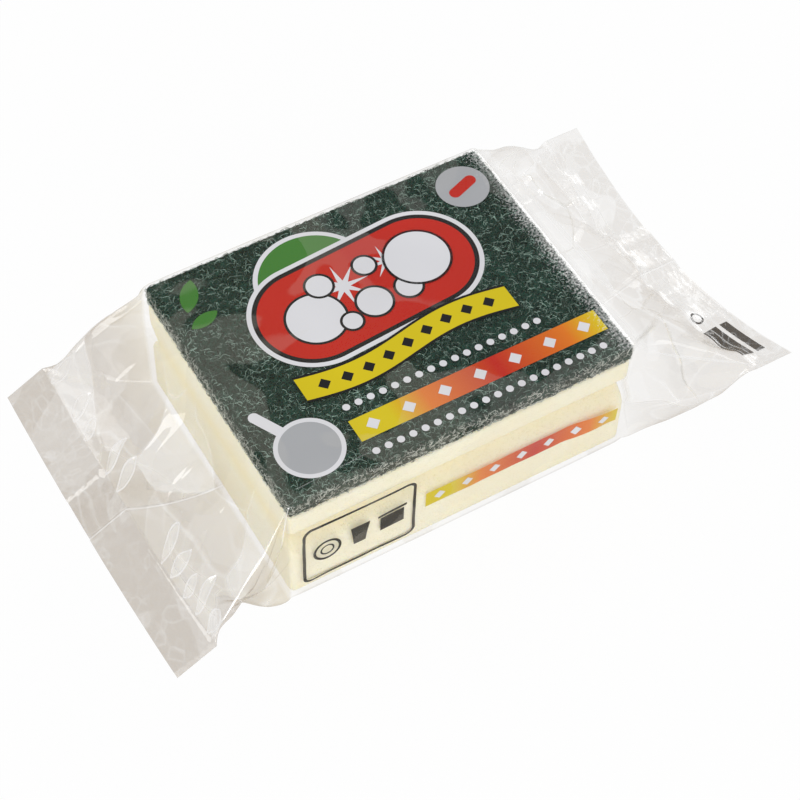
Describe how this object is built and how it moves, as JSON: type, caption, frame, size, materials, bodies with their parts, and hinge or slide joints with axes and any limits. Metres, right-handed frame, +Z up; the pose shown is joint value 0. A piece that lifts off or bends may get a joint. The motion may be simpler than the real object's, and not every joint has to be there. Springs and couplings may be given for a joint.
{
  "type": "cleaning sponge",
  "caption": "Two-layer cleaning sponge with a scouring pad on a foam block with finger grips, in a clear printed flow-wrap film with crimped, gathered ends.",
  "frame": {"origin": "centre of the sponge's footprint, on the surface that the pack lies on", "axes": "+X along the pack from the left end seal to the right one, +Y from the front long side to the back, +Z up through the scouring pad"},
  "size_m": [0.1821, 0.1028, 0.0423],
  "materials": {
    "foam": "open-cell polyurethane foam, cream",
    "pad": "dark green nonwoven fibre",
    "film": "clear glossy polypropylene film",
    "ink_black": "printed ink under gloss",
    "ink_white": "printed ink under gloss",
    "ink_red": "printed ink under gloss",
    "ink_orange": "printed ink under gloss",
    "ink_yellow": "printed ink under gloss",
    "ink_green": "printed ink under gloss",
    "ink_grey": "silver-grey ink under gloss"
  },
  "bodies": {
    "root": {"foam_block": "foam", "scouring_pad": "pad", "film_wrapper": "film", "print_black": "ink_black", "print_white": "ink_white", "print_red": "ink_red", "print_orange": "ink_orange", "print_yellow": "ink_yellow", "print_green": "ink_green", "print_grey": "ink_grey"}
  },
  "joints": []
}
